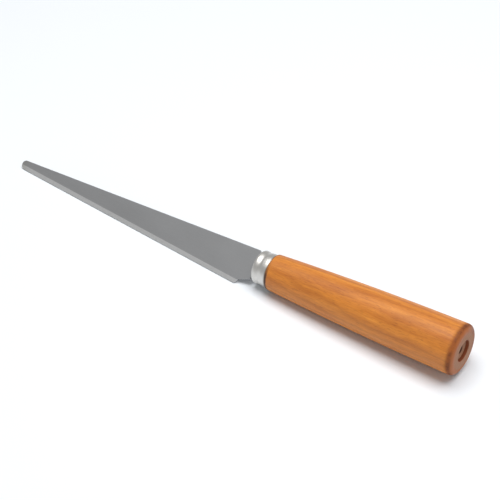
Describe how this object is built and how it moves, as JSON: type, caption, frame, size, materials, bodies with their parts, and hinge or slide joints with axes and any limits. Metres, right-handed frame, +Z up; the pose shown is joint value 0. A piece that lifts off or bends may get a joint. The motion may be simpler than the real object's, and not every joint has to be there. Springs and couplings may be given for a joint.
{
  "type": "fettling knife",
  "caption": "Clay trimming knife: a long tapered steel blade with one ground edge and a blunt rounded tip, a short aluminium ferrule and a turned wooden handle.",
  "frame": {"origin": "on the table, under the middle of the knife's length and under its axis, as it lies at rest", "axes": "+X along the knife from tip to butt, +Z up from the table, -Y the side that the cutting edge points to"},
  "size_m": [0.2478, 0.0234, 0.0252],
  "materials": {
    "blade_steel": "satin rolled sheet, ground bevel",
    "ferrule_aluminium": "satin, spun",
    "handle_wood": "clear lacquer, worn to bare end grain at the butt"
  },
  "bodies": {
    "root": {"blade": "blade_steel", "ferrule": "ferrule_aluminium", "handle": "handle_wood"}
  },
  "joints": []
}
